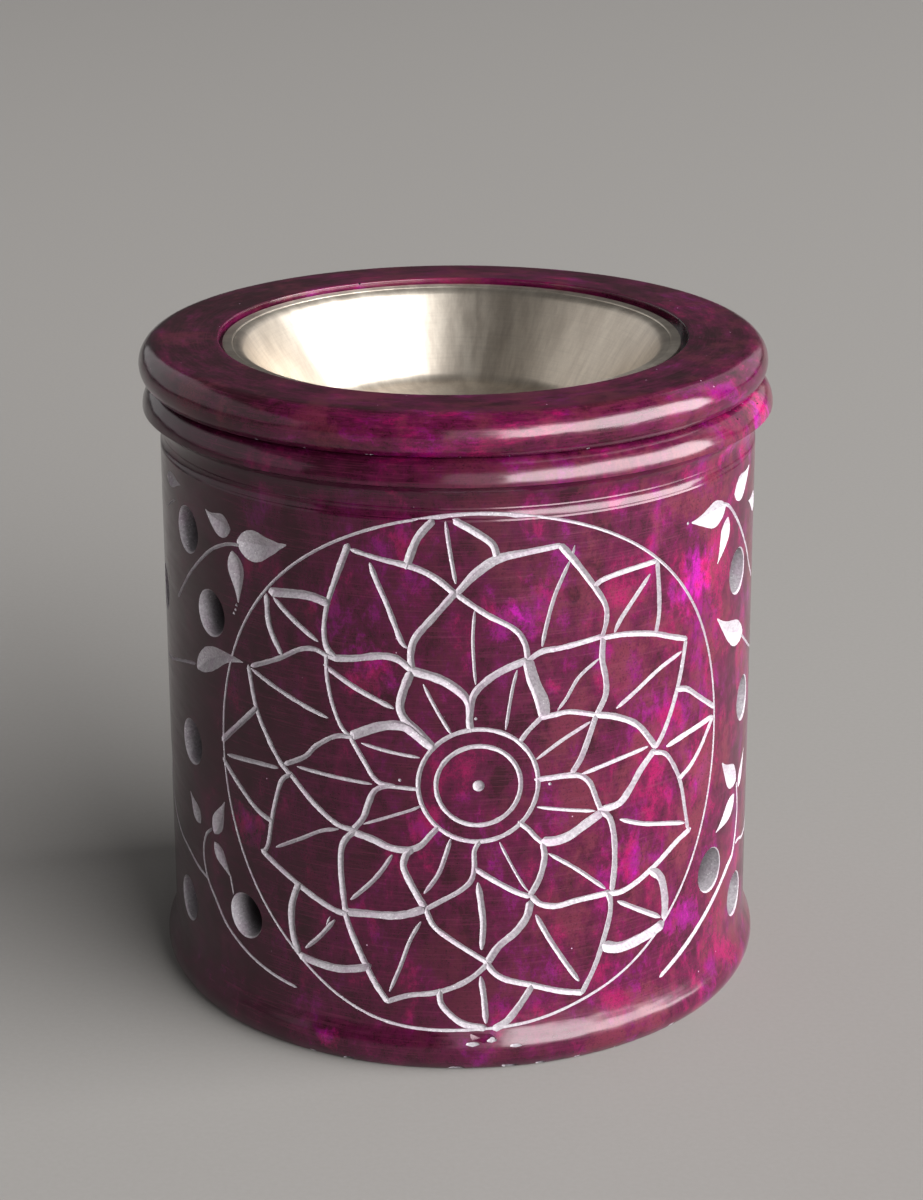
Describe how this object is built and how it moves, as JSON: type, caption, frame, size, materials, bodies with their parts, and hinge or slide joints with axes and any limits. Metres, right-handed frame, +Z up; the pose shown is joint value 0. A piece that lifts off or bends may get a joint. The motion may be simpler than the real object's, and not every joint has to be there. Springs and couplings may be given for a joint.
{
  "type": "essential oil burner",
  "caption": "Cylindrical stone oil burner with drilled air vents, a rear arch for a tealight, and a loose top ring holding a shallow steel dish.",
  "frame": {"origin": "centre of the flat base, on the surface that the burner stands on", "axes": "+Z up along the pot's turning axis, -Y towards the carved front, +Y towards the tealight arch"},
  "size_m": [0.0763, 0.076, 0.0798],
  "materials": {
    "stone_pot": "dyed soapstone, polished, with raw pale grey carving",
    "top_ring": "dyed soapstone, polished",
    "steel_dish": "satin spun stainless steel",
    "tealight_cup": "bright pressed aluminium",
    "tealight_wax": "white paraffin wax, slightly translucent",
    "wick_sustainer": "tin plated steel",
    "wick": "waxed braided cotton"
  },
  "bodies": {
    "pot": {"stone_pot": "stone_pot"},
    "ring": {"top_ring": "top_ring"},
    "dish": {"steel_dish": "steel_dish"},
    "tealight": {"tealight_cup": "tealight_cup", "tealight_wax": "tealight_wax", "wick_sustainer": "wick_sustainer", "wick": "wick"}
  },
  "joints": [
    {"name": "ring_lift", "type": "slide", "parent": "pot", "child": "ring", "axis": [0, 0, 1], "range_m": [0, 0.06]},
    {"name": "dish_lift", "type": "slide", "parent": "ring", "child": "dish", "axis": [0, 0, 1], "range_m": [0, 0.06]},
    {"name": "tealight_slide", "type": "slide", "parent": "pot", "child": "tealight", "axis": [0, 1, 0], "range_m": [0, 0.062]}
  ]
}
